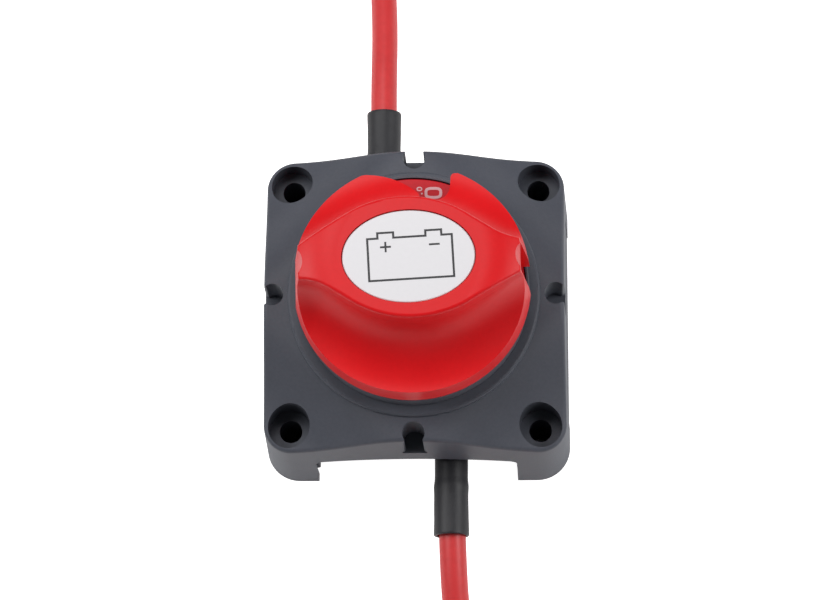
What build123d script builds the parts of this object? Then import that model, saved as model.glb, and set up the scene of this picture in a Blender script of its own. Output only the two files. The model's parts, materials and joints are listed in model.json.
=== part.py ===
"""Surface-mounted battery isolator switch: square domed housing, rotary grip knob, two stud terminals
under the body and two short battery cables whose spare length is tied in round coils.

Millimetres. The origin is the centre of the mounting face, +Z is the knob's axis, and the cables leave
along +Y (battery side) and -Y (load side). The switch stands at OFF.
"""

from build123d import *
import math
import os

os.makedirs("parts", exist_ok=True)

# ---------------------------------------------------------------- driving dimensions
BASE_W = 69.0            # square footprint at the mounting face
BASE_CORNER = 7.5        # plan radius of its corners
WALL_DRAFT = 2.75        # degrees
DOME_Z = 36.2            # top of the housing at the middle of each side
CORNER_Z = 25.9          # top of the housing at its corners
EDGE_R = 1.0             # rounding of the top edge

HOLE_SPACING = 55.1      # mounting holes, square pattern
HOLE_D = 5.0
SCREW_HEAD_D = 9.4
SCREW_FLOOR_Z = 21.2     # floor of the counterbores

OPENING_W = 45.2         # cable opening, one in each side, at the mounting face
OPENING_LEAN = 0.3       # each end leans in by this much towards the top
OPENING_R = 2.4          # rounding of its upper corners
OPENING_END_Z = 17.2     # its height at the ends
OPENING_MID_Z = 20.2     # and in the middle
BAY_W = 44.7             # between the corner posts, behind the openings
WALL = 3.2

PLATE_Z = 19.0           # underside of the terminal plate
PLATE_T = 3.0
PLATE_R = 30.8
CHAMBER_R = 24.5         # switch chamber above the terminal plate
CHAMBER_TOP = 33.4
TOWER_HOLLOW_R = 20.0
TOWER_HOLLOW_TOP = 38.0

COLLAR_R = 27.6          # step round the knob
COLLAR_Z = 37.2
TOWER_R = 25.2           # raised ring that carries the legend disc
TOWER_Z = 42.2
DISC_R = 24.3
DISC_SEAT_Z = 40.0

NOTCH_R = 2.45           # keyhole notch in the middle of each side
NOTCH_NECK = 4.0
NOTCH_DEPTH_Y = 30.95    # distance of the round head's centre from the axis
NOTCH_FLOOR_Z = 25.4
NOTCH_MOUTH_Y = 32.4     # where the rounding of the neck's mouth begins
NOTCH_MOUTH_R = 0.7

KNOB_BOTTOM_Z = 44.0
KNOB_RIM_Z = 49.6
KNOB_TOP_Z = 66.8
KNOB_R = 25.57           # at its lower edge
KNOB_RIM_R = 25.2
KNOB_TIP_R = 23.35       # at the ends of the grip
KNOB_TURN = 1.5          # degrees that the knob stands off square at OFF
COVE_R = 11.8            # finger hollow on each side of the grip
GRIP_HALF = 13.1         # half the grip's width at its middle
TIP_SLOT_X = 23.25       # back of the slot down the grip's tip at +X
TIP_SLOT_W = 6.2
LABEL_L = 27.7
LABEL_W = 19.8
LABEL_T = 0.8
LABEL_Z = 65.75          # floor of the label's pocket; the label lies 0.25 below the knob's top

SHAFT_R = 6.93           # rotor shaft
SHAFT_FIT = 0.07         # radial clearance in its bearing
THRUST_Z = 32.0          # lower face of the bearing
BEARING_R = 9.5
DETENT_ROOF_R = 15.0
DETENT_PCD_R = 12.0      # detent balls, two of them, opposite each other
DETENT_Z = 31.1
BALL_R = 2.0
SQUARE = 9.6             # drive square at the top of the rotor, across flats
SQUARE_Z = 40.2
SQUARE_TOP_Z = 51.8
HUB_R = 9.0

BAR_ANGLE = 28.8         # contact bar at OFF, square to the line of the studs
BAR_W = 10.0
BAR_L = 41.0
BAR_T = 3.0
BAR_Z = 26.0             # its underside at OFF; it drops 1.4 to the stud heads at ON
SPRING_TOP_Z = 34.1

STUD_X = 7.7             # the two terminal studs lie on a diagonal
STUD_Y = 14.0
STUD_D = 10.0            # M10
STUD_HEAD_Z = 24.5
STUD_END_Z = 3.0
NUT_AF = 17.0
PALM_T = 2.4             # cable terminal's palm

CABLE_D = 6.0
SLEEVE_D = 7.7
BARREL_D = 6.8
BARREL_Z = 13.4          # cable axis where it leaves the terminal
BARREL_END_Y = 38.0      # where the barrel ends and the cable begins
SLEEVE_END_Y = 49.8
COIL_R = 30.0            # radius of the coils, to the middle of the cable
TAIL_R = 24.0            # tighter last bend that turns the free end in over the coil
TOP_TURN_Z = 9.9         # height of the upper turn


def finish(part, label, turn=0.0):
    """Name a finished piece, turn it about the knob's axis and write its STEP file."""
    part = part.rotate(Axis.Z, turn)
    part.label = label
    export_step(part, f"parts/{label}.step")
    print(f"{label}: {len(part.solids())} solids, {part.volume:.0f} mm3, valid {part.is_valid}")
    return part


def unit(angle):
    """Unit vector in plan, angle in degrees."""
    return Vector(math.cos(math.radians(angle)), math.sin(math.radians(angle)), 0)


# ---------------------------------------------------------------- housing
DIAGONAL_PLANES = [
    Plane(origin=(0, 0, 0), x_dir=(sx, sy, 0), z_dir=(sy, -sx, 0))
    for sx, sy in ((1, 1), (-1, 1), (-1, -1), (1, -1))
]
SIDE_PLANES = [
    Plane(origin=(0, 0, 0), x_dir=(-sy, sx, 0), z_dir=(sx, sy, 0))
    for sx, sy in ((1, 0), (0, 1), (-1, 0), (0, -1))
]
STUDS = [(-STUD_X, STUD_Y), (STUD_X, -STUD_Y)]
PLATE_SCREW_R = 27.6      # the four plate screws, on the diagonals
GROOVE_TOP_Z = 14.0       # grooves in the ends of the openings, for the ribs of a cover


def opening_outline(grow=0.0):
    """Closed outline of a cable opening, low and wide with a slightly arched top."""
    foot = OPENING_W / 2 + grow
    head = foot - OPENING_LEAN
    Polyline((-head, OPENING_END_Z + grow), (-foot, -grow), (foot, -grow), (head, OPENING_END_Z + grow))
    ThreePointArc((-head, OPENING_END_Z + grow), (0, OPENING_MID_Z + grow), (head, OPENING_END_Z + grow))


with BuildPart() as housing:
    with BuildSketch():
        RectangleRounded(BASE_W, BASE_W, BASE_CORNER)
    extrude(amount=DOME_Z + 4, taper=WALL_DRAFT)
    # the top falls away to the four corners in an S curve, square to the diagonal
    for plane in DIAGONAL_PLANES:
        with BuildSketch(plane):
            with BuildLine():
                Line((-1, DOME_Z), (22, DOME_Z))
                Bezier((22, DOME_Z), (31.5, DOME_Z), (34, CORNER_Z + 0.7), (46, CORNER_Z))
                Polyline((46, CORNER_Z), (60, CORNER_Z), (60, 60), (-1, 60), (-1, DOME_Z))
            make_face()
        extrude(amount=60, both=True, mode=Mode.SUBTRACT)
    fillet(housing.edges().filter_by_position(Axis.Z, CORNER_Z - 1, DOME_Z + 1), EDGE_R)
    # step and tower round the knob
    with BuildSketch(Plane.XY.offset(30)):
        Circle(COLLAR_R)
    extrude(amount=COLLAR_Z - 30)
    fillet(housing.edges().filter_by(GeomType.CIRCLE).group_by(Axis.Z)[-1], 0.7)
    with BuildSketch(Plane.XY.offset(COLLAR_Z)):
        Circle(TOWER_R)
    extrude(amount=TOWER_Z - COLLAR_Z)
    chamfer(housing.edges().group_by(Axis.Z)[-1], 0.3)
    # seat of the legend disc
    with BuildSketch(Plane.XY.offset(DISC_SEAT_Z)):
        Circle(DISC_R + 0.25)
    extrude(amount=5, mode=Mode.SUBTRACT)
    # keyhole notches: a round head, and a neck open to the side with a rounded mouth
    with BuildSketch(Plane.XY.offset(NOTCH_FLOOR_Z)):
        with PolarLocations(NOTCH_MOUTH_Y + 2, 4):
            Rectangle(4, NOTCH_NECK + 2 * NOTCH_MOUTH_R)
        with PolarLocations(0, 4):
            with Locations(*[(NOTCH_MOUTH_Y, side * (NOTCH_NECK / 2 + NOTCH_MOUTH_R)) for side in (-1, 1)]):
                Circle(NOTCH_MOUTH_R, mode=Mode.SUBTRACT)
        with PolarLocations(NOTCH_DEPTH_Y + 3, 4):
            Rectangle(6, NOTCH_NECK)
        with PolarLocations(NOTCH_DEPTH_Y, 4):
            Circle(NOTCH_R)
    extrude(amount=20, mode=Mode.SUBTRACT)
    # counterbored mounting holes
    with Locations(Plane.XY.offset(DOME_Z)):
        with GridLocations(HOLE_SPACING, HOLE_SPACING, 2, 2):
            CounterBoreHole(HOLE_D / 2, SCREW_HEAD_D / 2, DOME_Z - SCREW_FLOOR_Z)
    # terminal bay, open below, with solid corner posts
    with BuildSketch():
        Rectangle(BASE_W - 2 * WALL, BAY_W)
        Rectangle(BAY_W, BASE_W - 2 * WALL)
    extrude(amount=PLATE_Z, mode=Mode.SUBTRACT)
    # recess for the terminal plate, and the switch chamber above it
    for radius, bottom, top in (
        (PLATE_R + 0.1, PLATE_Z, PLATE_Z + PLATE_T),
        (CHAMBER_R, PLATE_Z + PLATE_T, CHAMBER_TOP),
        (TOWER_HOLLOW_R, CHAMBER_TOP, TOWER_HOLLOW_TOP),
    ):
        with BuildSketch(Plane.XY.offset(bottom)):
            Circle(radius)
        extrude(amount=top - bottom, mode=Mode.SUBTRACT)
    # bearing for the rotor, and the roof that the detent balls run under
    for radius, bottom in ((BEARING_R, THRUST_Z), (DETENT_ROOF_R, CHAMBER_TOP)):
        with BuildSketch(Plane.XY.offset(bottom)):
            Circle(radius)
        extrude(amount=DISC_SEAT_Z - bottom)
    with BuildSketch(Plane.XY.offset(THRUST_Z)):
        Circle(SHAFT_R + SHAFT_FIT)
    extrude(amount=15, mode=Mode.SUBTRACT)
    with Locations(Plane.XY.offset(DETENT_Z).rotated((0, 0, BAR_ANGLE))):
        with PolarLocations(DETENT_PCD_R, 4):
            Sphere(BALL_R + 0.4, mode=Mode.SUBTRACT)
    # cable openings in all four sides, with a groove down each end that widens inwards
    for plane in SIDE_PLANES:
        with BuildSketch(plane.offset(BASE_W / 2 - WALL - 0.05)) as opening:
            with BuildLine():
                opening_outline()
            make_face()
            fillet(opening.vertices().group_by(Axis.Y)[-1], OPENING_R)
        extrude(amount=8, mode=Mode.SUBTRACT)
    with BuildSketch():
        with PolarLocations(0, 4):
            for s in (-1, 1):
                Polygon((31.4, s * 22), (31.4, s * 23.1), (34.0, s * 22.15), (34.0, s * 22), align=None)
    extrude(amount=GROOVE_TOP_Z, mode=Mode.SUBTRACT)
    # pilot holes for the plate screws
    with BuildSketch(Plane.XY.offset(PLATE_Z + PLATE_T)):
        with PolarLocations(PLATE_SCREW_R, 4, start_angle=45):
            Circle(1.5)
    extrude(amount=8, mode=Mode.SUBTRACT)
finish(housing.part, "housing")

# ---------------------------------------------------------------- side covers
def side_cover(plane, label):
    """Snap-in cover for an unused cable opening, nearly flush with the drafted wall."""
    with BuildPart() as cover:
        with BuildSketch():
            RectangleRounded(BASE_W - 0.3, BASE_W - 0.3, BASE_CORNER)
        extrude(amount=DOME_Z, taper=WALL_DRAFT)
        with BuildSketch(plane.offset(BASE_W / 2 - 2.9)) as opening:
            with BuildLine():
                opening_outline(-0.12)
            make_face()
            fillet(opening.vertices().group_by(Axis.Y)[-1], OPENING_R)
        extrude(amount=8, mode=Mode.INTERSECT)
        # lip behind the wall above the opening's ends, its root, and a wedge-shaped rib for each groove
        for depth, height, thickness in ((4.6, 7.3, 1.3), (3.4, 4.5, 0.6)):
            with BuildSketch(plane.offset(BASE_W / 2 - depth)):
                with Locations((0, 11.5 + height / 2)):
                    Rectangle(40, height)
            extrude(amount=thickness)
        with BuildSketch(Plane(origin=(0, 0, 3), x_dir=plane.z_dir, z_dir=(0, 0, 1))):
            for s in (-1, 1):
                Polygon((31.55, s * 21), (31.55, s * 22.85), (33.0, s * 22.2), (33.0, s * 21), align=None)
        extrude(amount=GROOVE_TOP_Z - 4)
    finish(cover.part, label)


side_cover(SIDE_PLANES[0], "side_cover_right")
side_cover(SIDE_PLANES[2], "side_cover_left")

# ---------------------------------------------------------------- knob
# plan of the ridge along one finger hollow, seen with that hollow towards -Y: round over the middle, straight
# towards both tips, and at -X bent back along the grip before it reaches the tip
COVE_SLOPES = (33.5, 30.5)   # degrees of the straight stretches to the grip's long axis, at -X and at +X
RIDGE_APEX = GRIP_HALF + 4.2 # where the straight stretches would meet
RIDGE_R = 23.4               # plan radius over the middle
BEND_X = -17.3
BEND_R = 11.5
BEND_TURN = 26.0             # degrees
RIDGE_OFFSET = COVE_R - 0.1  # from the ridge to the lowest line of the hollow
COVE_Z = KNOB_RIM_Z + 0.1 + COVE_R
HALF_TURN = sum(COVE_SLOPES) / 2
LEAN = (COVE_SLOPES[0] - COVE_SLOPES[1]) / 2
KNOB_SIDES = [Plane(origin=(0, 0, 0), x_dir=(s, 0, 0), z_dir=(0, 0, 1)) for s in (1, -1)]
SKIN = 2.5               # wall of the hollow knob
SCREW_SEAT_Z = 60.0


def section_plane(base, point, angle):
    """Upright plane at point, a vector in base, with local x at that angle in plan and local y up."""
    towards_grip = unit(angle)
    return Plane(
        origin=base.from_local_coords(point),
        x_dir=base.from_local_coords(towards_grip),
        z_dir=base.from_local_coords(Vector(towards_grip.Y, -towards_grip.X, 0)),
    )


def cove_outline():
    """Section of a finger hollow: a quarter circle up to the ridge, and everything above its floor."""
    CenterArc((0, COVE_Z), COVE_R, -90, 90)
    Polyline((COVE_R, COVE_Z), (COVE_R - 0.3, 75), (-24, 75), (-24, COVE_Z - COVE_R), (0, COVE_Z - COVE_R))


with BuildPart() as knob:
    # outer form: a short rim, then a cone that narrows to the tips of the grip
    with BuildSketch(Plane.XZ):
        with BuildLine():
            Polyline((0, KNOB_BOTTOM_Z), (KNOB_R, KNOB_BOTTOM_Z), (KNOB_RIM_R, KNOB_RIM_Z))
            Line((KNOB_RIM_R, KNOB_RIM_Z), (KNOB_TIP_R, 65.0))
            ThreePointArc((KNOB_TIP_R, 65.0), (19.6, KNOB_TOP_Z - 0.4), (15, KNOB_TOP_Z))
            Polyline((15, KNOB_TOP_Z), (0, KNOB_TOP_Z), (0, KNOB_BOTTOM_Z))
        make_face()
    revolve(axis=Axis.Z)
    # finger hollows on both sides of the grip: the long stretch, the bend, and the short end past the bend
    for plane in KNOB_SIDES:
        bend_ridge = Vector(BEND_X, -BEND_X * math.tan(math.radians(COVE_SLOPES[0])) - RIDGE_APEX)
        bend_start = bend_ridge - unit(90 - COVE_SLOPES[0]) * RIDGE_OFFSET
        bend_centre = bend_ridge - unit(90 - COVE_SLOPES[0]) * BEND_R
        middle = Vector(0, -RIDGE_APEX) + unit(90 - LEAN) * (RIDGE_R / math.cos(math.radians(HALF_TURN)))
        low_line_r = RIDGE_R + RIDGE_OFFSET
        arc_start, arc_middle, arc_end = [
            middle + unit(270 + turn) * low_line_r for turn in (-COVE_SLOPES[0], -LEAN, COVE_SLOPES[1])
        ]
        far_end = arc_end + unit(COVE_SLOPES[1]) * 30
        low_line = [bend_start, arc_start, arc_middle, arc_end, far_end]
        low_line = [plane.from_local_coords(point) for point in low_line]
        with BuildLine() as cove_path:
            Line(*low_line[:2])
            ThreePointArc(*low_line[1:4])
            Line(*low_line[3:])
        with BuildSketch(section_plane(plane, bend_start, 90 - COVE_SLOPES[0])):
            with BuildLine():
                cove_outline()
            make_face()
        sweep(path=cove_path.line, mode=Mode.SUBTRACT)
        with BuildSketch(section_plane(plane, bend_start, 90 - COVE_SLOPES[0])):
            with BuildLine():
                cove_outline()
            make_face()
            with Locations((RIDGE_OFFSET - BEND_R, 40)):
                Rectangle(30, 40, align=(Align.MIN, Align.MIN), mode=Mode.INTERSECT)
        turning_axis = Axis(plane.from_local_coords(bend_centre), (0, 0, 1))
        revolve(axis=turning_axis, revolution_arc=BEND_TURN, mode=Mode.SUBTRACT)
        bend_end = bend_centre + unit(90 - COVE_SLOPES[0] + BEND_TURN) * (BEND_R - RIDGE_OFFSET)
        with BuildSketch(section_plane(plane, bend_end, 90 - COVE_SLOPES[0] + BEND_TURN)):
            with BuildLine():
                cove_outline()
            make_face()
        extrude(amount=-20, mode=Mode.SUBTRACT)
    fillet(knob.edges().filter_by_position(Axis.Z, 64, 70), 0.7)
    # the tip at -X is cut flat, the tip at +X has a slot, and both have a flute
    with BuildSketch(Plane.XZ):
        Polygon((-25.28, 43), (-23.45, 67), (-30, 67), (-30, 43), align=None)
    extrude(amount=12, both=True, mode=Mode.SUBTRACT)
    with BuildSketch(Plane.XY.offset(KNOB_BOTTOM_Z)):
        with Locations((TIP_SLOT_X + 5, 0)):
            Rectangle(10, TIP_SLOT_W)
    extrude(amount=30, mode=Mode.SUBTRACT)
    with Locations((26.3, 0, 58.5), (-26.3, 0, 58.5)):
        Cone(1.2, 4.4, 17, mode=Mode.SUBTRACT)
    # hollow underside: the skirt, then the grip
    with BuildSketch(Plane.XY.offset(KNOB_BOTTOM_Z)):
        Circle(KNOB_R - SKIN)
    extrude(amount=2.8, mode=Mode.SUBTRACT)
    with BuildSketch(Plane.XY.offset(KNOB_BOTTOM_Z)):
        with BuildLine():
            ThreePointArc((-19, 0), (0, GRIP_HALF - SKIN), (19, 0))
            ThreePointArc((19, 0), (0, SKIN - GRIP_HALF), (-19, 0))
        make_face()
    extrude(amount=KNOB_TOP_Z - SKIN - 0.8 - KNOB_BOTTOM_Z, mode=Mode.SUBTRACT)
    # hub, drive socket and screw hole
    with BuildSketch(Plane.XY.offset(SQUARE_Z + 0.1)):
        Circle(HUB_R)
    extrude(amount=KNOB_TOP_Z - 1 - SQUARE_Z)
    with BuildSketch(Plane.XY.offset(SQUARE_Z)):
        Rectangle(SQUARE + 0.1, SQUARE + 0.1)
    extrude(amount=SQUARE_TOP_Z + 0.2 - SQUARE_Z, mode=Mode.SUBTRACT)
    with Locations((0, 0, KNOB_TOP_Z)):
        CounterBoreHole(2.2, 4.3, KNOB_TOP_Z - SCREW_SEAT_Z)
    # pocket for the label
    with BuildSketch(Plane.XY.offset(LABEL_Z)):
        Ellipse(LABEL_L / 2 + 0.15, LABEL_W / 2 + 0.15)
    extrude(amount=3, mode=Mode.SUBTRACT)
    # index window through the skirt, open at the rim, with rounded corners there; it is square to the body
    with BuildSketch(Plane.XY.offset(KNOB_BOTTOM_Z - 1).rotated((0, 0, -KNOB_TURN))):
        with BuildLine():
            ThreePointArc((-11.37, 22.51), (-10.36, 22.83), (-9.3, 22.85))
            ThreePointArc((-9.3, 22.85), (-4.4, 21.9), (1.4, 18.2))
            Polyline((1.4, 18.2), (2.2, 16.4), (5.9, 16.4))
            ThreePointArc((5.9, 16.4), (7.55, 17.9), (8.25, 20.2))
            Line((8.25, 20.2), (8.35, 22.2))
            ThreePointArc((8.35, 22.2), (8.78, 22.99), (9.67, 23.08))
            Polyline((9.67, 23.08), (12, 30), (-14, 30), (-11.37, 22.51))
        make_face()
    extrude(amount=14, mode=Mode.SUBTRACT)
finish(knob.part, "knob", KNOB_TURN)

with BuildPart() as knob_label:
    with BuildSketch(Plane.XY.offset(LABEL_Z)):
        Ellipse(LABEL_L / 2, LABEL_W / 2)
    extrude(amount=LABEL_T)
    fillet(knob_label.edges().group_by(Axis.Z)[-1], 0.25)
finish(knob_label.part, "knob_label", KNOB_TURN)

with BuildPart() as knob_screw:
    with BuildSketch(Plane.XY.offset(SCREW_SEAT_Z)):
        Circle(4.0)
    extrude(amount=2.8)
    fillet(knob_screw.edges().group_by(Axis.Z)[-1], 1.2)
    with BuildSketch(Plane.XY.offset(SCREW_SEAT_Z + 2.8)):
        Rectangle(4.4, 1.0)
        Rectangle(1.0, 4.4)
    extrude(amount=-1.6, mode=Mode.SUBTRACT)
    with BuildSketch(Plane.XY.offset(SCREW_SEAT_Z)):
        Circle(1.95)
    extrude(amount=-15)
finish(knob_screw.part, "knob_screw", KNOB_TURN)

with BuildPart() as legend_disc:
    with BuildSketch(Plane.XY.offset(DISC_SEAT_Z)):
        Circle(DISC_R)
        Circle(HUB_R + 0.6, mode=Mode.SUBTRACT)
    extrude(amount=2)
    chamfer(legend_disc.edges().group_by(Axis.Z)[-1], 0.2)
finish(legend_disc.part, "legend_disc")

# ---------------------------------------------------------------- rotor, detent and contacts
FLANGE_R = 15.4
FLANGE_Z = 30.0
POCKET_FLOOR_Z = 26.2
GROOVE_Z = (35.2, 37.2)
GROOVE_R = 5.4
# directions measured from the contact bar, which lies along local X
along_bar = Plane.XY.rotated((0, 0, BAR_ANGLE))

with BuildPart() as rotor:
    # thrust flange, shaft, seal groove and drive square
    for radius, bottom, top in (
        (FLANGE_R, FLANGE_Z, THRUST_Z - 0.3),
        (SHAFT_R, FLANGE_Z, GROOVE_Z[0]),
        (GROOVE_R, GROOVE_Z[0], GROOVE_Z[1]),
        (SHAFT_R, GROOVE_Z[1], SQUARE_Z),
    ):
        with BuildSketch(Plane.XY.offset(bottom)):
            Circle(radius)
        extrude(amount=top - bottom)
    with BuildSketch(Plane.XY.offset(SQUARE_Z).rotated((0, 0, KNOB_TURN))):
        Rectangle(SQUARE, SQUARE)
    extrude(amount=SQUARE_TOP_Z - SQUARE_Z)
    chamfer(rotor.edges().group_by(Axis.Z)[-1], 0.6)
    # fork that drives the contact bar, and the ball pockets
    with BuildSketch(along_bar.offset(BAR_Z - 0.8)):
        Circle(BEARING_R)
        Rectangle(2 * FLANGE_R, BAR_W + 0.7, mode=Mode.SUBTRACT)
    extrude(amount=FLANGE_Z - BAR_Z + 0.8)
    with BuildSketch(along_bar.offset(POCKET_FLOOR_Z - 0.8)):
        with PolarLocations(DETENT_PCD_R, 2, start_angle=90):
            Circle(BALL_R + 1.2)
    extrude(amount=FLANGE_Z - POCKET_FLOOR_Z + 0.8)
    with BuildSketch(along_bar.offset(POCKET_FLOOR_Z)):
        with PolarLocations(DETENT_PCD_R, 2, start_angle=90):
            Circle(BALL_R + 0.05)
    extrude(amount=10, mode=Mode.SUBTRACT)
    # seat of the contact spring, and the hole for the knob's screw
    with BuildSketch(Plane.XY.offset(FLANGE_Z - 1)):
        Circle(5.3)
    extrude(amount=SPRING_TOP_Z - FLANGE_Z + 1, mode=Mode.SUBTRACT)
    with BuildSketch(Plane.XY.offset(SQUARE_TOP_Z)):
        Circle(2.0)
    extrude(amount=-8, mode=Mode.SUBTRACT)
finish(rotor.part, "rotor")

with BuildPart() as shaft_seal:
    with BuildSketch(Plane.XZ):
        with Locations((6.2, sum(GROOVE_Z) / 2)):
            Circle(0.74)
    revolve(axis=Axis.Z)
finish(shaft_seal.part, "shaft_seal")

with BuildPart() as detent_balls:
    with Locations(along_bar.offset(DETENT_Z)):
        with PolarLocations(DETENT_PCD_R, 2, start_angle=90):
            Sphere(BALL_R)
finish(detent_balls.part, "detent_balls")


def coil_spring(plane, radius, wire_r, height, turns):
    """Compression spring standing on a plane, its ends cut off flat."""
    with BuildPart(plane) as spring:
        wire_path = Helix(pitch=(height - wire_r) / turns, height=height - wire_r, radius=radius)
        with BuildSketch(Plane(origin=wire_path @ 0, z_dir=wire_path % 0)):
            Circle(wire_r)
        sweep(path=wire_path, is_frenet=True)
    return spring.part


spring_plane = along_bar.offset(POCKET_FLOOR_Z + 0.5)
detent_springs = [
    coil_spring(Plane(spring_plane.from_local_coords((0, s * DETENT_PCD_R, 0))), 1.4, 0.25, 2.2, 3)
    for s in (1, -1)
]
finish(Compound(children=detent_springs), "detent_springs")

with BuildPart() as contact_bar:
    with BuildSketch(along_bar.offset(BAR_Z)):
        SlotOverall(BAR_L, BAR_W)
    extrude(amount=BAR_T)
    chamfer(contact_bar.edges().filter_by(Plane.XY), 0.4)
finish(contact_bar.part, "contact_bar")

spring_foot = BAR_Z + BAR_T
contact_spring = coil_spring(
    Plane.XY.offset(spring_foot + 0.65), 4.4, 0.6, SPRING_TOP_Z - spring_foot - 0.7, 2.5
)
finish(contact_spring, "contact_spring")

# ---------------------------------------------------------------- terminal plate and studs
with BuildPart() as terminal_plate:
    with BuildSketch(Plane.XY.offset(PLATE_Z)):
        Circle(PLATE_R)
        with Locations(*STUDS):
            Circle(STUD_D / 2 + 0.05, mode=Mode.SUBTRACT)
        with PolarLocations(PLATE_SCREW_R, 4, start_angle=45):
            Circle(1.7, mode=Mode.SUBTRACT)
    extrude(amount=PLATE_T)
    # blocks on the floor of the chamber under the ends of the parked contact bar
    with BuildSketch(along_bar.offset(PLATE_Z + PLATE_T)):
        with PolarLocations(18.8, 2):
            Rectangle(2.6, 5)
    extrude(amount=STUD_HEAD_Z - 0.1 - PLATE_Z - PLATE_T)
    # rib between the two terminals, under the plate
    with BuildSketch(along_bar.offset(PLATE_Z)):
        Rectangle(40, 2)
    extrude(amount=-9)
finish(terminal_plate.part, "terminal_plate")

with BuildPart() as plate_screws:
    with BuildSketch(Plane.XY.offset(PLATE_Z)):
        with PolarLocations(PLATE_SCREW_R, 4, start_angle=45):
            Circle(2.75)
    extrude(amount=-2)
    fillet(plate_screws.edges().group_by(Axis.Z)[0], 0.7)
    with BuildSketch(Plane.XY.offset(PLATE_Z - 2)):
        with PolarLocations(PLATE_SCREW_R, 4, start_angle=45):
            Rectangle(3.2, 0.8)
            Rectangle(0.8, 3.2)
    extrude(amount=1.2, mode=Mode.SUBTRACT)
    with BuildSketch(Plane.XY.offset(PLATE_Z)):
        with PolarLocations(PLATE_SCREW_R, 4, start_angle=45):
            Circle(1.45)
    extrude(amount=PLATE_T + 7)
finish(plate_screws.part, "plate_screws")

with BuildPart() as terminal_studs:
    with BuildSketch(Plane.XY.offset(PLATE_Z + PLATE_T)):
        with Locations(*STUDS):
            Circle(7)
    extrude(amount=STUD_HEAD_Z - PLATE_Z - PLATE_T)
    chamfer(terminal_studs.edges().group_by(Axis.Z)[-1], 0.4)
    with BuildSketch(Plane.XY.offset(PLATE_Z + PLATE_T)):
        with Locations(*STUDS):
            Circle(STUD_D / 2)
    extrude(amount=STUD_END_Z - PLATE_Z - PLATE_T)
    chamfer(terminal_studs.edges().group_by(Axis.Z)[0], 0.9)
finish(terminal_studs.part, "terminal_studs")

PALM_Z = PLATE_Z - PALM_T
WASHER_Z = PALM_Z - 1.6
SPLIT_WASHER_Z = WASHER_Z - 2.2
NUT_Z = SPLIT_WASHER_Z - 8.0

with BuildPart() as flat_washers:
    with BuildSketch(Plane.XY.offset(WASHER_Z)):
        with Locations(*STUDS):
            Circle(9)
            Circle(5.3, mode=Mode.SUBTRACT)
    extrude(amount=PALM_Z - WASHER_Z)
    chamfer(flat_washers.edges().filter_by(GeomType.CIRCLE), 0.25)
finish(flat_washers.part, "flat_washers")

with BuildPart() as lock_washers:
    with BuildSketch(Plane.XY.offset(SPLIT_WASHER_Z)):
        with Locations(*STUDS):
            Circle(8.2)
            Circle(5.2, mode=Mode.SUBTRACT)
            with Locations((6.5, 0)):
                Rectangle(5, 0.9, rotation=25, mode=Mode.SUBTRACT)
    extrude(amount=WASHER_Z - SPLIT_WASHER_Z)
finish(lock_washers.part, "lock_washers")

with BuildPart() as stud_nuts:
    with BuildSketch(Plane.XY.offset(NUT_Z)):
        with Locations(*STUDS):
            RegularPolygon(NUT_AF / 2, 6, major_radius=False, rotation=30)
            Circle(STUD_D / 2 + 0.03, mode=Mode.SUBTRACT)
    extrude(amount=SPLIT_WASHER_Z - NUT_Z)
    with BuildSketch(Plane.XY.offset(NUT_Z)):
        with Locations(*STUDS):
            Circle(NUT_AF / 2 + 0.6)
    extrude(amount=SPLIT_WASHER_Z - NUT_Z, taper=-20, mode=Mode.INTERSECT)
finish(stud_nuts.part, "stud_nuts")

# ---------------------------------------------------------------- cables
# Both sides are drawn in a frame whose +Y points out of the housing; the load side is that frame turned
# half a turn. Each route runs from the terminal's barrel to where the coil takes the cable over, on the floor.
TURNED = Plane(origin=(0, 0, 0), x_dir=(-1, 0, 0), z_dir=(0, 0, 1))
ROUTES = {
    "battery": [
        (-7.7, 38, 13.4), (-7.9, 54, 12.6), (-7.8, 72, 8.4), (-8.9, 90, 4), (-15.2, 106, 3), (-24.2, 120.5, 3),
    ],
    "load": [
        (-7.7, 38, 13.4), (-7.9, 54, 12.6), (-9, 70, 7.6), (-15.3, 85, 3.6), (-24.2, 98.3, 3),
    ],
}
# the coil, in degrees of clockwise travel from where the cable joins it
CLIMB = (235, 280, 325)  # start, middle and end of its climb onto the lower turn
TOP_END = 420            # where the tighter last bend begins
TAIL_TURN = 75
TIE_AT = 385
END_SLEEVE_L = 14.0
END_BARREL_L = 17.0
END_EYE_Y = 26.0         # centre of the free end's eye, from the end of the coil
END_EYE_R = 6.8


def ring_terminal(eye, eye_r, hole_r, palm, neck_y, barrel, barrel_end, label, base):
    """Crimp terminal: an eye and palm at eye (x, y), heights palm (low, high), and a barrel (z, radius)
    that runs from neck_y to barrel_end along Y. base is the plane it is drawn in."""
    low, high = palm
    barrel_z, barrel_r = barrel
    with BuildPart() as lug:
        with BuildSketch(base.offset(low)):
            with Locations(eye):
                Circle(eye_r)
            with Locations((eye[0], neck_y)):
                Rectangle(2 * barrel_r, 1)
            make_hull()
            with Locations(eye):
                Circle(hole_r, mode=Mode.SUBTRACT)
        extrude(amount=high - low)
        side = Plane(origin=base.from_local_coords((eye[0], 0, 0)), x_dir=base.y_dir, z_dir=base.x_dir)
        bottom, top = barrel_z - barrel_r, barrel_z + barrel_r
        with BuildSketch(side):
            with BuildLine():
                Polyline((neck_y, low), (neck_y, high), (neck_y + 1.8, top))
                Polyline((neck_y + 1.8, top), (neck_y + 1.8, bottom), (neck_y, low))
            make_face()
        extrude(amount=barrel_r, both=True)
        with BuildSketch(Plane(origin=side.from_local_coords((neck_y + 1.8, barrel_z, 0)), z_dir=base.y_dir)):
            Circle(barrel_r)
        extrude(amount=barrel_end - neck_y - 1.8)
    finish(lug.part, label)


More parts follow.
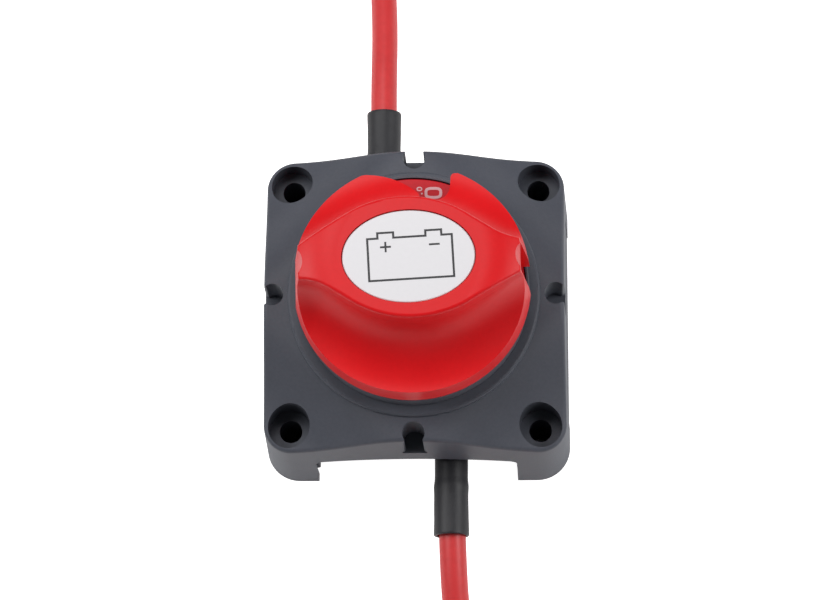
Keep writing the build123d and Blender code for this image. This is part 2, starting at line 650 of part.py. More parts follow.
def round_sleeve(spans, label, base):
    """Tube along the local Z of base, from (start, end, outer radius, bore radius) spans end to end."""
    with BuildPart() as sleeve:
        for start, end, outer_r, bore_r in spans:
            with BuildSketch(base.offset(start)):
                Circle(outer_r)
                Circle(bore_r, mode=Mode.SUBTRACT)
            extrude(amount=end - start)
        chamfer(sleeve.edges().filter_by(GeomType.CIRCLE).sort_by(SortBy.RADIUS)[-1], 0.2)
    finish(sleeve.part, label)


def sector(plane, centre, radius, travel, low, high):
    """Part of a round coil: the cable's width, swept about centre over travel (start, end angles)."""
    start, end = travel
    with BuildPart() as arc_block:
        with BuildSketch(plane.offset(low)):
            with BuildLine():
                for r in (radius - CABLE_D / 2, radius + CABLE_D / 2):
                    CenterArc((centre.X, centre.Y), r, start, end - start)
                for angle in travel:
                    ray = unit(angle)
                    Line(centre + ray * (radius - CABLE_D / 2), centre + ray * (radius + CABLE_D / 2))
            make_face()
        extrude(amount=high - low)
    return arc_block.part


for side_name, route in ROUTES.items():
    side_plane = Plane.XY if side_name == "battery" else TURNED
    sleeve_start = STUD_Y + 11.5

    # terminal under the housing
    ring_terminal(
        (-STUD_X, STUD_Y), 8.2, 5.3, (PALM_Z, PLATE_Z), 23.4, (BARREL_Z, BARREL_D / 2), BARREL_END_Y,
        f"{side_name}_lug", side_plane,
    )
    cable_axis = Plane(
        origin=side_plane.from_local_coords((-STUD_X, 0, BARREL_Z)), x_dir=side_plane.x_dir, z_dir=side_plane.y_dir
    )
    round_sleeve(
        [
            (sleeve_start, BARREL_END_Y, SLEEVE_D / 2 - 0.1, BARREL_D / 2),
            (BARREL_END_Y, SLEEVE_END_Y, SLEEVE_D / 2, CABLE_D / 2),
        ],
        f"{side_name}_sleeve", cable_axis,
    )

    # cable: straight runs joined by the largest tangent arcs that they allow
    points = [side_plane.from_local_coords(point) for point in route]
    radii = []
    for before, here, after in zip(points, points[1:], points[2:]):
        shorter = min((here - before).length, (after - here).length)
        half_turn = math.radians((here - before).get_angle(after - here)) / 2
        radii.append(0.45 * shorter / math.tan(half_turn))
    with BuildPart() as cable:
        with BuildLine() as cable_path:
            FilletPolyline(*points, radius=radii)
        with BuildSketch(Plane(origin=cable_path.line @ 0, z_dir=cable_path.line % 0)):
            Circle(CABLE_D / 2)
        sweep(path=cable_path.line)
    finish(cable.part, f"{side_name}_cable")
    length = cable_path.wire().length
    print(f"  arc radii {[round(r) for r in radii]}, length {length:.1f}, section x length {9 * math.pi * length:.0f}")

    # coil: a lower turn, the climb, and an upper turn whose free end lies in over it
    last_run = Vector(*route[-1]) - Vector(*route[-2])
    joins = math.degrees(math.atan2(last_run.Y, last_run.X)) + 90
    centre = Vector(route[-1][0], route[-1][1]) - unit(joins) * COIL_R
    tail_centre = centre + unit(joins - TOP_END) * (COIL_R - TAIL_R)
    tail_angle = joins - TOP_END - TAIL_TURN
    upper = (CABLE_D, TOP_TURN_Z + CABLE_D / 2)
    tie_ray = unit(joins - TIE_AT)
    tie_plane = Plane(
        origin=side_plane.from_local_coords(centre + tie_ray * COIL_R),
        x_dir=side_plane.from_local_coords(tie_ray),
        z_dir=side_plane.from_local_coords(Vector(tie_ray.Y, -tie_ray.X, 0)),
    )
    with BuildPart() as tie:
        with BuildSketch(tie_plane.offset(-1.8)):
            with Locations((0, 6.85)):
                RectangleRounded(7.8, 13.7, 1.5)
                RectangleRounded(6.4, 12.2, 0.9, mode=Mode.SUBTRACT)
        extrude(amount=3.6)
        with BuildSketch(tie_plane.offset(-2.6)):
            with Locations((5.2, 8.5)):
                RectangleRounded(3.0, 4.6, 0.6)
        extrude(amount=5.2)
    finish(tie.part, f"{side_name}_tie")
    coil_parts = [
        sector(side_plane, centre, COIL_R, (joins, joins - CLIMB[0]), 0, CABLE_D),
        sector(side_plane, centre, COIL_R, (joins - CLIMB[0], joins - CLIMB[1]), 0, 9.6),
        sector(side_plane, centre, COIL_R, (joins - CLIMB[1], joins - CLIMB[2]), 3.4, upper[1]),
        sector(side_plane, centre, COIL_R, (joins - CLIMB[2], joins - TOP_END), *upper),
        sector(side_plane, tail_centre, TAIL_R, (joins - TOP_END, tail_angle), *upper),
    ]
    with BuildPart() as coil:
        add(coil_parts)
        add(tie.part, mode=Mode.SUBTRACT)
    finish(coil.part, f"{side_name}_coil")

    # free end: sleeve and terminal, straight on from the upper turn
    tail_ray = unit(tail_angle)
    tail_heading = Vector(tail_ray.Y, -tail_ray.X, 0)
    end_point = tail_centre + tail_ray * TAIL_R
    end_axis = Plane(
        origin=side_plane.from_local_coords(end_point + Vector(0, 0, TOP_TURN_Z)),
        x_dir=side_plane.from_local_coords(tail_ray),
        z_dir=side_plane.from_local_coords(tail_heading),
    )
    round_sleeve([(0, END_SLEEVE_L, SLEEVE_D / 2, BARREL_D / 2)], f"{side_name}_end_sleeve", end_axis)
    eye_plane = Plane(
        origin=side_plane.from_local_coords(end_point + tail_heading * END_EYE_Y),
        x_dir=side_plane.from_local_coords(tail_ray),
        z_dir=(0, 0, 1),
    )
    ring_terminal(
        (0, 0), END_EYE_R, 4.2, (6.6, 8.6), END_EYE_Y - END_BARREL_L - 1.8, (TOP_TURN_Z, BARREL_D / 2), END_EYE_Y,
        f"{side_name}_end_lug", eye_plane,
    )
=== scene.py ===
"""Battery isolator switch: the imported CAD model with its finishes, printed marks and two battery cables.

Metres, in the CAD model's own frame. Lengths written in millimetres go through MM.
"""

import json
import math
import random

import bmesh
import bpy
from mathutils import Matrix, Vector


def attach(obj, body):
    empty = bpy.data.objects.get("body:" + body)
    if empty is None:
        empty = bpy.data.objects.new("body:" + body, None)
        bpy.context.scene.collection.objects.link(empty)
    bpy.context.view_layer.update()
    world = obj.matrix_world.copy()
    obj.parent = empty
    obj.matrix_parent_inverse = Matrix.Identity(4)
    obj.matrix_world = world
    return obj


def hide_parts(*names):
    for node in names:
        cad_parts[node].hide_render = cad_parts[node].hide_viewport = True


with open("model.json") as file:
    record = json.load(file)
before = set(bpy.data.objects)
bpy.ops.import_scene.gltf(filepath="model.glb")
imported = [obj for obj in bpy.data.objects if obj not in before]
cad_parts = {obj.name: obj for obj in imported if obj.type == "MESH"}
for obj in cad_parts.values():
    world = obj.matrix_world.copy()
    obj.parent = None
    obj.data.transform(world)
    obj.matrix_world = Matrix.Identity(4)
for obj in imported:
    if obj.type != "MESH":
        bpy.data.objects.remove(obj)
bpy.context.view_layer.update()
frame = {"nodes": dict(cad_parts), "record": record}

MM = 0.001
random.seed(7)

# ---------------------------------------------------------------- camera
LENS = 117.49                                # mm
SENSOR_WIDTH = 36                            # mm
NEAR_CLIP = 10                               # mm
CAMERA_TURN = (14.7002, 1.9157, 0.1337)      # degrees about X, Y and its own axis
CAMERA_PLACE = (0.198, 7.757, 632.685)       # mm, in the camera's own axes

tilt, swing, roll = (math.radians(a) for a in CAMERA_TURN)
turn = Matrix.Rotation(swing, 4, "Y") @ Matrix.Rotation(tilt, 4, "X") @ Matrix.Rotation(roll, 4, "Z")
camera_data = bpy.data.cameras.new("camera")
camera_data.lens = LENS
camera_data.sensor_width = SENSOR_WIDTH
camera_data.clip_start = NEAR_CLIP * MM
camera = bpy.data.objects.new("camera", camera_data)
camera.matrix_world = turn @ Matrix.Translation(Vector(CAMERA_PLACE) * MM)
bpy.context.scene.collection.objects.link(camera)
bpy.context.scene.camera = camera


# ---------------------------------------------------------------- helpers
def new_object(name, data, body, material=None):
    """Link a new piece, and let it ride on its body."""
    piece = bpy.data.objects.new(name, data)
    bpy.context.scene.collection.objects.link(piece)
    if material is not None:
        data.materials.append(material)
    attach(piece, body)
    return piece


def finish_mesh(bm, name, smooth_angle=35):
    """Close a bmesh into mesh data with outward normals and smooth shading up to an angle."""
    bmesh.ops.remove_doubles(bm, verts=bm.verts, dist=1e-7)
    bmesh.ops.recalc_face_normals(bm, faces=bm.faces)
    mesh = bpy.data.meshes.new(name)
    bm.to_mesh(mesh)
    bm.free()
    mesh.shade_smooth()
    mesh.set_sharp_from_angle(angle=math.radians(smooth_angle))
    return mesh


# ---------------------------------------------------------------- materials
GLOSS_SPREAD = 0.06
# a metal's fine lines, as how closely they follow each other along X, Y and Z
NO_LAY = (1, 1, 1)
ACROSS_X = (12, 1, 1)
ACROSS_Y = (1, 12, 1)
ACROSS_Z = (1, 1, 12)


def node_tree(name):
    """New material with its Principled shader, and a helper that adds and wires nodes."""
    material = bpy.data.materials.new(name)
    material.use_nodes = True
    tree = material.node_tree
    shader = tree.nodes["Principled BSDF"]

    def add(kind, links=(), **values):
        node = tree.nodes.new(kind)
        for key, value in values.items():
            if hasattr(node, key):
                setattr(node, key, value)
            else:
                node.inputs[key.replace("_", " ")].default_value = value
        for socket, source in links:
            tree.links.new(source, node.inputs[socket])
        return node

    return material, tree, shader, add


def colour_ramp(add, source, low, high):
    """Colour that goes from one (position, colour) to another as the source rises."""
    ramp = add("ShaderNodeValToRGB", [("Fac", source)])
    for element, (position, colour) in zip(ramp.color_ramp.elements, (low, high)):
        element.position = position
        element.color = colour
    return ramp.outputs["Color"]


def srgb(r, g, b):
    """Linear colour from 0-255 display values."""
    return tuple(((c / 255 + 0.055) / 1.055) ** 2.4 if c > 10 else c / 255 / 12.92 for c in (r, g, b)) + (1,)


def shade(colour, factor):
    """A colour made lighter or darker, opaque and not over full."""
    return tuple(min(c * factor, 1) for c in colour[:3]) + (1,)


def moulded(
    name, colour, roughness, mottle=0.06, grain=0.25, grain_depth=0.02, wave=0.0, specular=0.5,
):
    """Moulded plastic or rubber: spark-eroded grain, faint colour mottle and uneven gloss, with a wavy skin
    where wave is more than 0. grain, grain_depth and wave are in mm."""
    material, tree, shader, add = node_tree(name)
    place = add("ShaderNodeTexCoord").outputs["Object"]
    broad = add("ShaderNodeTexNoise", [("Vector", place)], Scale=90.0, Detail=3.0, Roughness=0.55)
    speck = add("ShaderNodeTexNoise", [("Vector", place)], Scale=1 / (grain * 3 * MM), Detail=2.0)
    both = add("ShaderNodeMath", [(0, broad.outputs["Fac"]), (1, speck.outputs["Fac"])], operation="ADD")
    half = add("ShaderNodeMath", [(0, both.outputs[0])], operation="MULTIPLY")
    half.inputs[1].default_value = 0.5
    mottled = colour_ramp(
        add, half.outputs[0], (0.35, shade(colour, 1 - mottle)), (0.65, shade(colour, 1 + mottle)),
    )
    tree.links.new(mottled, shader.inputs["Base Color"])
    gloss = add(
        "ShaderNodeMapRange", [("Value", broad.outputs["Fac"])],
        To_Min=roughness - GLOSS_SPREAD, To_Max=roughness + GLOSS_SPREAD,
    )
    tree.links.new(gloss.outputs["Result"], shader.inputs["Roughness"])
    fine = add("ShaderNodeTexNoise", [("Vector", place)], Scale=1 / (grain * MM), Detail=2.0, Roughness=0.6)
    bump = add("ShaderNodeBump", [("Height", fine.outputs["Fac"])], Strength=0.5, Distance=grain_depth * MM)
    if wave > 0:
        flow = add("ShaderNodeTexNoise", [("Vector", place)], Scale=140.0, Detail=1.0)
        wavy = add("ShaderNodeBump", [("Height", flow.outputs["Fac"])], Strength=0.4, Distance=wave * MM)
        tree.links.new(wavy.outputs["Normal"], bump.inputs["Normal"])
    tree.links.new(bump.outputs["Normal"], shader.inputs["Normal"])
    shader.inputs["Specular IOR Level"].default_value = specular
    return material


def metal(name, colour, roughness, lay=ACROSS_Z, scratch=0.004):
    """Plated or drawn metal: fine lines, slight tarnish and uneven gloss. scratch, their depth, is in mm."""
    material, tree, shader, add = node_tree(name)
    place = add("ShaderNodeTexCoord").outputs["Object"]
    stretched = add("ShaderNodeMapping", [("Vector", place)])
    stretched.inputs["Scale"].default_value = lay
    lines = add(
        "ShaderNodeTexNoise", [("Vector", stretched.outputs[0])], Scale=900.0, Detail=4.0, Roughness=0.7,
    )
    tarnish = add("ShaderNodeTexNoise", [("Vector", place)], Scale=160.0, Detail=4.0)
    tarnished = colour_ramp(add, tarnish.outputs["Fac"], (0.3, shade(colour, 0.78)), (0.65, colour))
    tree.links.new(tarnished, shader.inputs["Base Color"])
    gloss = add(
        "ShaderNodeMapRange", [("Value", lines.outputs["Fac"])],
        To_Min=roughness - 0.08, To_Max=roughness + 0.1,
    )
    tree.links.new(gloss.outputs["Result"], shader.inputs["Roughness"])
    bump = add("ShaderNodeBump", [("Height", lines.outputs["Fac"])], Strength=0.4, Distance=scratch * MM)
    tree.links.new(bump.outputs["Normal"], shader.inputs["Normal"])
    shader.inputs["Metallic"].default_value = 1.0
    return material


PLASTICS = {
    "housing_plastic": dict(
        colour=srgb(80, 83, 92), roughness=0.50, grain=0.22, grain_depth=0.03, specular=0.3,
    ),
    "cover_plastic": dict(
        colour=srgb(72, 75, 83), roughness=0.56, grain=0.22, grain_depth=0.03, specular=0.32,
    ),
    "disc_plastic": dict(
        colour=srgb(204, 30, 44), roughness=0.5, mottle=0.04, grain_depth=0.012, specular=0.25,
    ),
    "plate_plastic": dict(
        colour=srgb(40, 40, 42), roughness=0.55, mottle=0.1, grain=0.4, grain_depth=0.03,
    ),
    "knob_plastic": dict(
        colour=srgb(225, 22, 28), roughness=0.38, mottle=0.03, grain=0.3, grain_depth=0.008, specular=0.26,
    ),
    "label_plastic": dict(
        colour=srgb(230, 228, 231), roughness=0.36, mottle=0.012, grain=0.3, grain_depth=0.006,
    ),
    "rotor_plastic": dict(colour=srgb(226, 222, 212), roughness=0.40, mottle=0.03),
    "seal_rubber": dict(colour=srgb(26, 26, 27), roughness=0.5),
    "cable_jacket": dict(
        colour=srgb(216, 56, 58), roughness=0.45, mottle=0.05, grain=0.5, grain_depth=0.02, wave=0.12,
    ),
    "heat_shrink": dict(
        colour=srgb(38, 38, 42), roughness=0.52, mottle=0.12, grain=0.5, grain_depth=0.05, wave=0.2,
    ),
    "tie_nylon": dict(colour=srgb(30, 30, 31), roughness=0.4),
}
METALS = {
    "ball_steel": dict(colour=(0.75, 0.75, 0.76, 1), roughness=0.12, lay=NO_LAY, scratch=0.001),
    "spring_steel": dict(colour=(0.55, 0.55, 0.56, 1), roughness=0.3),
    "screw_steel": dict(colour=(0.62, 0.62, 0.63, 1), roughness=0.3),
    "washer_steel": dict(colour=(0.60, 0.60, 0.61, 1), roughness=0.34, lay=ACROSS_X),
    "nut_steel": dict(colour=(0.60, 0.60, 0.61, 1), roughness=0.28),
    "stud_brass": dict(colour=(0.72, 0.66, 0.56, 1), roughness=0.28),
    "contact_copper": dict(colour=(0.86, 0.47, 0.32, 1), roughness=0.3, lay=ACROSS_X),
    "lug_tin": dict(colour=(0.70, 0.70, 0.71, 1), roughness=0.32, lay=ACROSS_Y),
}
MATERIALS = {name: moulded(name, **finish) for name, finish in PLASTICS.items()}
MATERIALS.update({name: metal(name, **finish) for name, finish in METALS.items()})
INK_DARK = moulded("ink_dark", srgb(44, 43, 47), 0.45, mottle=0.1, grain=0.15, grain_depth=0.004)
INK_LIGHT = moulded("ink_light", srgb(232, 190, 196), 0.5, mottle=0.05, grain=0.15, grain_depth=0.004)

SLOT_OF = {row["node"]: row["material_slot"] for row in frame["record"]["subparts"]}
for node_name, node_object in frame["nodes"].items():
    node_object.data.materials.clear()
    node_object.data.materials.append(MATERIALS[SLOT_OF[node_name]])

# ---------------------------------------------------------------- printed marks
LABEL_TOP = 66.55        # mm, as is the rest where nothing else is said
DISC_TOP = 42.0
INK_HEIGHT = 0.04
INK_SUNK = 0.02
MITRE_LIMIT = 0.3        # least cosine that a corner's mitre is worked out with
BATTERY_AT = (0.43, -0.35)
BATTERY_TURN = 3.3       # degrees
BATTERY_SIZE = (17.6, 9.05)
BATTERY_STROKE = 0.43
POST_W = 3.3
POST_H = 1.15
POST_INSET = 2.15
SIGN_AT = (5.08, 2.6)    # of the plus and the minus, from the middle of the battery
SIGN_ARM = 1.12
SIGN_STROKE = 0.4
# on the disc: the zero of OFF, the small ring and tick beside it, and the one of ON
ZERO_AT, ZERO_HALF, ZERO_POWER, ZERO_STROKE = (4.44, 21.1), (1.62, 1.03), 3.2, 0.62
RING_AT, RING_HALF, RING_POWER, RING_STROKE = (1.4, 22.0), (0.5, 0.36), 2.6, 0.26
TICK_PATH, TICK_STROKE = [(1.75, 20.95), (2.1, 20.95)], 0.34
ONE_PATH, ONE_STROKE = [(19.2, -4.4), (23.0, -4.4)], 0.7


def stroke(name, body, ink, path, width, base, closed=True):
    """Print a line of even width along a path in plan, mitred at its corners, as a thin raised solid."""
    bm = bmesh.new()
    count = len(path)
    rings = []
    for index, point in enumerate(path):
        here = Vector(point)
        before = Vector(path[index - 1]) if closed or index else here
        after = Vector(path[(index + 1) % count]) if closed or index < count - 1 else here
        ahead = (after - here).normalized() if after != here else (here - before).normalized()
        behind = (here - before).normalized() if before != here else ahead
        normal = (Vector((-ahead.y, ahead.x)) + Vector((-behind.y, behind.x))).normalized()
        reach = width / 2 / max(normal.dot(Vector((-ahead.y, ahead.x))), MITRE_LIMIT)
        corners = [(here - normal * reach, -INK_SUNK), (here + normal * reach, -INK_SUNK)]
        corners += [(here + normal * reach, INK_HEIGHT), (here - normal * reach, INK_HEIGHT)]
        rings.append([bm.verts.new(Vector((spot.x, spot.y, base + rise)) * MM) for spot, rise in corners])
    for index in range(count if closed else count - 1):
        ring, following = rings[index], rings[(index + 1) % count]
        for k in range(4):
            bm.faces.new((ring[k], ring[(k + 1) % 4], following[(k + 1) % 4], following[k]))
    if not closed:
        bm.faces.new(rings[0])
        bm.faces.new(reversed(rings[-1]))
    new_object(name, finish_mesh(bm, name), body, material=ink)


def oval(centre, half, power, count=28):
    """Closed path of a superellipse."""
    path = []
    for index in range(count):
        angle = 2 * math.pi * index / count
        c, s = math.cos(angle), math.sin(angle)
        path.append((
            centre[0] + math.copysign(abs(c) ** (2 / power), c) * half[0],
            centre[1] + math.copysign(abs(s) ** (2 / power), s) * half[1],
        ))
    return path


def on_label(x, y):
    """A point of the battery symbol, turned and placed on the label."""
    c, s = math.cos(math.radians(BATTERY_TURN)), math.sin(math.radians(BATTERY_TURN))
    return (BATTERY_AT[0] + x * c - y * s, BATTERY_AT[1] + x * s + y * c)


def battery_symbol():
    """Outline of a battery with its two posts."""
    half_l, half_h = BATTERY_SIZE[0] / 2, BATTERY_SIZE[1] / 2
    top = half_h + POST_H
    outline = [(-half_l, -half_h), (half_l, -half_h), (half_l, half_h)]
    for post in (half_l - POST_INSET, -half_l + POST_INSET + POST_W):
        outline += [(post, half_h), (post, top), (post - POST_W, top), (post - POST_W, half_h)]
    outline.append((-half_l, half_h))
    path = [on_label(*point) for point in outline]
    stroke("label_battery_symbol", "knob", INK_DARK, path, BATTERY_STROKE, LABEL_TOP)


def plus_sign():
    """Plus sign of two crossed bars, as one thin raised solid."""
    half, arm = SIGN_STROKE / 2, SIGN_ARM
    cross = [
        (half, half), (half, arm), (-half, arm), (-half, half), (-arm, half), (-arm, -half),
        (-half, -half), (-half, -arm), (half, -arm), (half, -half), (arm, -half), (arm, half),
    ]
    spots = [on_label(x - SIGN_AT[0], y + SIGN_AT[1]) for x, y in cross]
    bm = bmesh.new()
    low, high = (
        [bm.verts.new(Vector((*spot, LABEL_TOP + rise)) * MM) for spot in spots]
        for rise in (-INK_SUNK, INK_HEIGHT)
    )
    for index in range(len(cross)):
        after = (index + 1) % len(cross)
        bm.faces.new((low[index], low[after], high[after], high[index]))
    bm.faces.new(reversed(low))
    bm.faces.new(high)
    new_object("label_plus", finish_mesh(bm, "label_plus"), "knob", material=INK_DARK)


battery_symbol()
plus_sign()
minus = [on_label(SIGN_AT[0] + x, SIGN_AT[1]) for x in (-SIGN_ARM, SIGN_ARM)]
stroke("label_minus", "knob", INK_DARK, minus, SIGN_STROKE, LABEL_TOP, closed=False)
zero = oval(ZERO_AT, ZERO_HALF, ZERO_POWER)
stroke("legend_zero", "housing", INK_LIGHT, zero, ZERO_STROKE, DISC_TOP)
small_ring = oval(RING_AT, RING_HALF, RING_POWER, 20)
stroke("legend_ring", "housing", INK_LIGHT, small_ring, RING_STROKE, DISC_TOP)
stroke("legend_tick", "housing", INK_LIGHT, TICK_PATH, TICK_STROKE, DISC_TOP, closed=False)
stroke("legend_one", "housing", INK_LIGHT, ONE_PATH, ONE_STROKE, DISC_TOP, closed=False)

# ---------------------------------------------------------------- cables
SIDES = {"battery": 1, "load": -1}       # the load side is the battery side turned half a turn
CABLE_D = 6.0                            # mm, as is the rest where nothing else is said
CABLE_X = -7.7                           # the cable's axis in the housing
CABLE_Z = 13.4
COIL_R = 30.0
TAIL_R = 24.0
FLOOR_TURN_Z = 3.0
TOP_TURN_Z = 9.9
CLIMB = (235, 325)                       # degrees of clockwise travel round the coil
TOP_END = 420
TAIL_TURN = 75                           # degrees of the tighter bend that follows
TAIL_IN_SLEEVE = 9.0                     # from that bend to the jacket's end
STEP = 22.5                              # degrees between the coil's control points
# from the housing to the coil, with +Y pointing out of the housing
ROUTES = {
    "battery": [
        (-7.7, 38, 13.4), (-7.9, 54, 12.6), (-7.8, 72, 8.4), (-8.9, 90, 4), (-15.2, 106, 3),
        (-24.2, 120.5, 3),
    ],
    "load": [
        (-7.7, 38, 13.4), (-7.9, 54, 12.6), (-9, 70, 7.6), (-15.3, 85, 3.6), (-24.2, 98.3, 3),
    ],
}

# heat-shrunk sleeves: (distance, outer radius, bore radius) from the lug's end to the open one
ROOT_STATIONS = [
    (25.5, 3.72, 3.42), (29, 3.74, 3.42), (36.6, 3.70, 3.42), (38.6, 3.88, 3.10), (40.5, 3.80, 3.06),
    (45, 3.84, 3.06),
]
ROOT_END = {"battery": (48.6, 3.92, 3.08), "load": (49.3, 3.92, 3.08)}
TIP_STATIONS = [(0.35, 3.74, 3.42), (4, 3.72, 3.42), (6.0, 3.86, 3.12), (9, 3.78, 3.06), (13.6, 3.86, 3.08)]
TIP_START = 14.0                         # where the far sleeve's distances start, past the tighter bend
ROOT_RIPPLE = 0.09
TIP_RIPPLE = 0.08
SLEEVE_AROUND = 40                       # points round a sleeve
SLEEVE_PITCH = 0.45                      # between its rings
LIP_BORE = 3.12                          # radius


def unit(angle):
    """Unit vector in plan, angle in degrees."""
    return Vector((math.cos(math.radians(angle)), math.sin(math.radians(angle)), 0))


def turn_height(travel):
    """Height of the cable's axis after so many degrees of travel round the coil."""
    share = min(max((travel - CLIMB[0]) / (CLIMB[1] - CLIMB[0]), 0), 1)
    return FLOOR_TURN_Z + (TOP_TURN_Z - FLOOR_TURN_Z) * share * share * (3 - 2 * share)


def cable_points(route):
    """The listed route, then the coil's turns, then the tighter bend and the free end, in mm.

    Control points of a bend stand outside it, so that the curve between them has the bend's radius."""
    points = [Vector(p) for p in route]
    last_run = points[-1] - points[-2]
    joins = math.degrees(math.atan2(last_run.y, last_run.x)) + 90
    centre = Vector((points[-1].x, points[-1].y, 0)) - unit(joins) * COIL_R
    outward = 1 / math.cos(math.radians(STEP / 2))
    travel = STEP * 0.75                 # the route's last point is on the coil itself
    while travel < TOP_END:
        spot = centre + unit(joins - travel) * COIL_R * outward
        points.append(spot + Vector((0, 0, turn_height(travel))))
        travel += STEP
    tail_centre = centre + unit(joins - TOP_END) * (COIL_R - TAIL_R)
    tail_outward = 1 / math.cos(math.radians(TAIL_TURN / 6))
    for share in (1 / 6, 1 / 2, 5 / 6):
        spot = tail_centre + unit(joins - TOP_END - TAIL_TURN * share) * TAIL_R * tail_outward
        points.append(spot + Vector((0, 0, TOP_TURN_Z)))
    ray = unit(joins - TOP_END - TAIL_TURN)
    heading = Vector((ray.y, -ray.x, 0))
    end = tail_centre + ray * TAIL_R + Vector((0, 0, TOP_TURN_Z))
    points += [end + heading * TAIL_IN_SLEEVE * share for share in (0.35, 1)]
    return points


def side_point(side, point):
    """A point of the side's own frame, in the row frame and in metres."""
    flip = SIDES[side]
    return Vector((flip * point[0], flip * point[1], point[2])) * MM


def shrunk_sleeve(name, axis, stations, ripple):
    """Heat-shrunk tube as a closed mesh. axis is (start, unit direction, unit side) in mm; stations go
    from the plain end to the open one, where the wall ends in a blunt lip."""
    start, along, sideways = axis
    upwards = along.cross(sideways)
    first, last = stations[0][0], stations[-1][0]
    steps = int((last - first) / SLEEVE_PITCH)
    waves = [
        (random.uniform(0.15, 0.5), random.choice((1, 2, 2, 3)), random.uniform(0, 6.28)) for _ in range(6)
    ]

    def radius(distance, column):
        for near, far in zip(stations, stations[1:]):
            if distance <= far[0]:
                share = (distance - near[0]) / (far[0] - near[0])
                share = share * share * (3 - 2 * share)
                return near[column] + (far[column] - near[column]) * share
        return stations[-1][column]

    def ring(distance, size, rough):
        verts = []
        for k in range(SLEEVE_AROUND):
            angle = 2 * math.pi * k / SLEEVE_AROUND
            uneven = sum(math.sin(distance * f + n * angle + phase) for f, n, phase in waves) / len(waves)
            reach = size + uneven * rough
            offset = sideways * math.cos(angle) * reach + upwards * math.sin(angle) * reach
            verts.append(bm.verts.new((start + along * distance + offset) * MM))
        return verts

    bm = bmesh.new()
    spots = [first + (last - first) * i / steps for i in range(steps + 1)]
    outer_end = radius(last, 1)
    rings = [ring(spot, radius(spot, 1), ripple) for spot in spots]
    # (distance past the last station, radius, ripple) of the lip, from the outside in
    lip = [
        (0.22, outer_end - 0.08, ripple),
        (0.32, (outer_end + LIP_BORE) / 2, ripple / 2),
        (0.2, LIP_BORE + 0.06, 0),
    ]
    rings += [ring(last + past, size, rough) for past, size, rough in lip]
    # the smooth bore does with fewer rings
    rings += [ring(spot, radius(spot, 2), 0) for spot in spots[::-6]]
    rings += [ring(first, stations[0][2], 0), rings[0]]
    for here, after in zip(rings, rings[1:]):
        for k in range(SLEEVE_AROUND):
            following = (k + 1) % SLEEVE_AROUND
            bm.faces.new((here[k], here[following], after[following], after[k]))
    return finish_mesh(bm, name, smooth_angle=50)


def jacket_curve(name, laid):
    """Round cable along its control points, given in metres."""
    curve = bpy.data.curves.new(name, "CURVE")
    curve.dimensions = "3D"
    curve.resolution_u = 10
    curve.bevel_depth = CABLE_D / 2 * MM
    curve.bevel_resolution = 8
    curve.use_fill_caps = True
    spline = curve.splines.new("NURBS")
    spline.points.add(len(laid) - 1)
    for control, spot in zip(spline.points, laid):
        control.co = (*spot, 1)
    spline.order_u = 3
    spline.use_endpoint_u = True
    return curve


for side, route in ROUTES.items():
    laid = [side_point(side, p) for p in cable_points(route)]
    curve = jacket_curve(f"{side}_cable_jacket", laid)
    cable = new_object(f"{side}_cable_jacket", curve, "housing", MATERIALS["cable_jacket"])
    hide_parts(f"{side}_cable", f"{side}_coil")

    flip = SIDES[side]
    root_axis = (Vector((CABLE_X * flip, 0, CABLE_Z)), Vector((0, flip, 0)), Vector((flip, 0, 0)))
    root_mesh = shrunk_sleeve(
        f"{side}_sleeve_shrunk", root_axis, [*ROOT_STATIONS, ROOT_END[side]], ROOT_RIPPLE,
    )
    root = new_object(f"{side}_sleeve_shrunk", root_mesh, "housing", MATERIALS["heat_shrink"])
    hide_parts(f"{side}_sleeve")

    back = (laid[-2] - laid[-1]).normalized()
    bend_end = laid[-1] + back * TAIL_IN_SLEEVE * MM
    tip_axis = (bend_end / MM - back * TIP_START, back, Vector((back.y, -back.x, 0)))
    tip_mesh = shrunk_sleeve(f"{side}_end_sleeve_shrunk", tip_axis, TIP_STATIONS, TIP_RIPPLE)
    tip = new_object(
        f"{side}_end_sleeve_shrunk", tip_mesh, "housing", MATERIALS["heat_shrink"],
    )
    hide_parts(f"{side}_end_sleeve")

# ---------------------------------------------------------------- floor and light
FLOOR_SIZE = 6             # m
FLOOR_WHITE = (0.85, 0.85, 0.85, 1)
PURE_WHITE = (1, 1, 1, 1)
FLOOR_GLOW = 0.45          # what the paper gives to the object
FLOOR_GLOW_SEEN = 1.0      # what the camera sees of it
BODY_SHADE = (24, 27)      # mm from the middle: the glow starts and is full; nearer, the floor is left dark as painted shade under the body
HOLE_AT = 27.55            # mm, the screw holes
HOLE_SHADE = (4, 5)        # mm from a hole's middle: the glow starts and is full; nearer, the floor is left dark as painted shade under the screw hole
WORLD_GLOW = 0.09
LIGHT_AIM = (0, 0, 0.03)
# (name, place in m, size in m, power in W)
SOFTBOXES = [
    ("back", (-0.12, 0.40, 0.88), 0.4, 2.8),
    ("left", (-0.62, 0.10, 0.66), 0.4, 3.4),
    ("right", (0.68, 0.02, 0.60), 0.4, 3.6),
    ("front", (0.10, -0.95, 0.30), 0.6, 0.25),
]


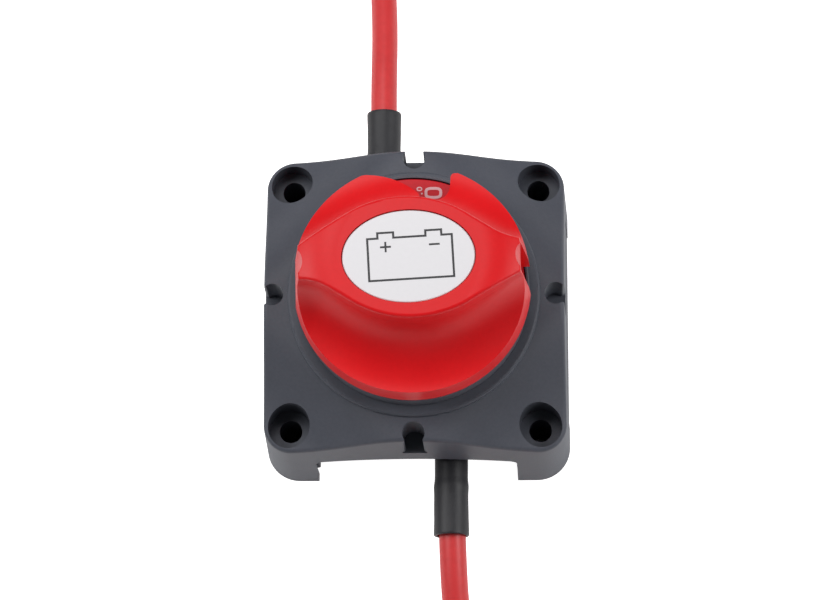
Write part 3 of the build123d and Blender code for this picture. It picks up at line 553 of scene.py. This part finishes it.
def floor_paper():
    """White paper that glows evenly, but not under the middle of the body nor under its screw holes: there
    the floor is left dark as painted shade.
    """
    material, tree, shader, add = node_tree("floor_paper")
    shader.inputs["Base Color"].default_value = FLOOR_WHITE
    shader.inputs["Roughness"].default_value = 0.9
    shader.inputs["Emission Color"].default_value = PURE_WHITE
    place = add("ShaderNodeTexCoord").outputs["Object"]
    fold = add("ShaderNodeVectorMath", [(0, place)], operation="ABSOLUTE").outputs["Vector"]
    axes = add("ShaderNodeSeparateXYZ", [("Vector", fold)])
    far = add("ShaderNodeMath", [(0, axes.outputs["X"]), (1, axes.outputs["Y"])], operation="MAXIMUM")
    hole = add("ShaderNodeVectorMath", [(0, fold)], operation="DISTANCE")
    hole.inputs[1].default_value = (HOLE_AT * MM, HOLE_AT * MM, 0)
    beside = add(
        "ShaderNodeMapRange", [("Value", far.outputs[0])],
        From_Min=BODY_SHADE[0] * MM, From_Max=BODY_SHADE[1] * MM,
    )
    clear = add(
        "ShaderNodeMapRange", [("Value", hole.outputs["Value"])],
        From_Min=HOLE_SHADE[0] * MM, From_Max=HOLE_SHADE[1] * MM,
    )
    seen = add(
        "ShaderNodeMapRange", [("Value", add("ShaderNodeLightPath").outputs["Is Camera Ray"])],
        To_Min=FLOOR_GLOW, To_Max=FLOOR_GLOW_SEEN,
    )
    # painted shade: no glow on the floor under the body's middle nor under its screw holes
    painted_shade_mask = add(
        "ShaderNodeMath", [(0, beside.outputs["Result"]), (1, clear.outputs["Result"])], operation="MULTIPLY",
    )
    strength = add(
        "ShaderNodeMath", [(0, painted_shade_mask.outputs[0]), (1, seen.outputs["Result"])], operation="MULTIPLY",
    )
    tree.links.new(strength.outputs[0], shader.inputs["Emission Strength"])
    return material


def softbox(name, place, size, power):
    """Square area light at a place, facing the object."""
    light = bpy.data.lights.new(name, "AREA")
    light.size = size
    light.energy = power
    lamp = bpy.data.objects.new(name, light)
    lamp.location = place
    lamp.rotation_euler = (Vector(LIGHT_AIM) - Vector(place)).to_track_quat("-Z", "Y").to_euler()
    bpy.context.scene.collection.objects.link(lamp)


bpy.ops.mesh.primitive_plane_add(size=FLOOR_SIZE, location=(0, 0, 0))
floor = bpy.context.active_object
floor.name = "floor"
floor.data.materials.append(floor_paper())
for lamp in SOFTBOXES:
    softbox(*lamp)

world = bpy.data.worlds.new("studio")
world.use_nodes = True
world.node_tree.nodes["Background"].inputs["Color"].default_value = PURE_WHITE
world.node_tree.nodes["Background"].inputs["Strength"].default_value = WORLD_GLOW
bpy.context.scene.world = world
bpy.context.scene.view_settings.view_transform = "Standard"
